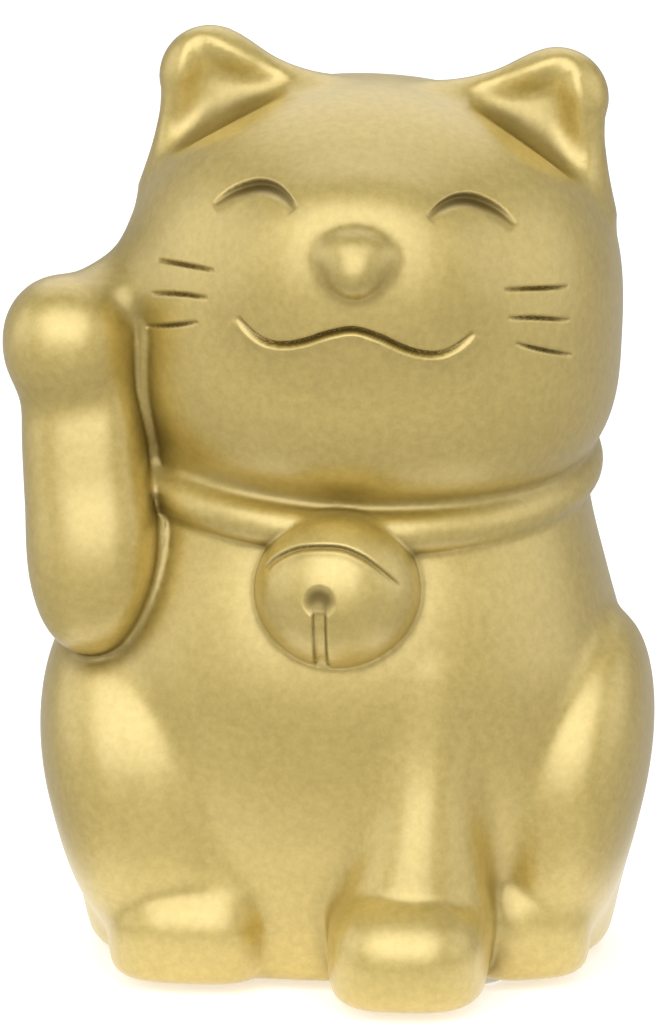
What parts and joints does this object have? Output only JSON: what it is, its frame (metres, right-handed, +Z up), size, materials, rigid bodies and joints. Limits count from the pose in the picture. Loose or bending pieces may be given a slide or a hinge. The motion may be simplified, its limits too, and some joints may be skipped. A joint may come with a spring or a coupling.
{
  "type": "beckoning cat figurine",
  "caption": "Seated cat figurine in matte gold ceramic, one paw raised to its cheek, with a round bell on its collar; hollow, with a pull-out stopper underneath.",
  "frame": {"origin": "middle of the footprint box, on the surface that the cat stands on", "axes": "+Z up; the cat faces -Y; +X to the cat's left, so its raised arm is on the -X side"},
  "size_m": [0.0892, 0.079, 0.1296],
  "materials": {
    "gold_lacquer": "satin",
    "rubber": "matte"
  },
  "bodies": {
    "cat": {"body": "gold_lacquer", "raised_arm": "gold_lacquer", "collar": "gold_lacquer", "bell": "gold_lacquer", "nose": "gold_lacquer", "tail": "gold_lacquer", "foot_pad_1": "rubber", "foot_pad_2": "rubber", "foot_pad_3": "rubber", "foot_pad_4": "rubber"},
    "stopper": {"stopper": "rubber"}
  },
  "joints": [
    {"name": "stopper_pull", "type": "slide", "parent": "cat", "child": "stopper", "axis": [0, 0, -1], "range_m": [0, 0.014]}
  ]
}
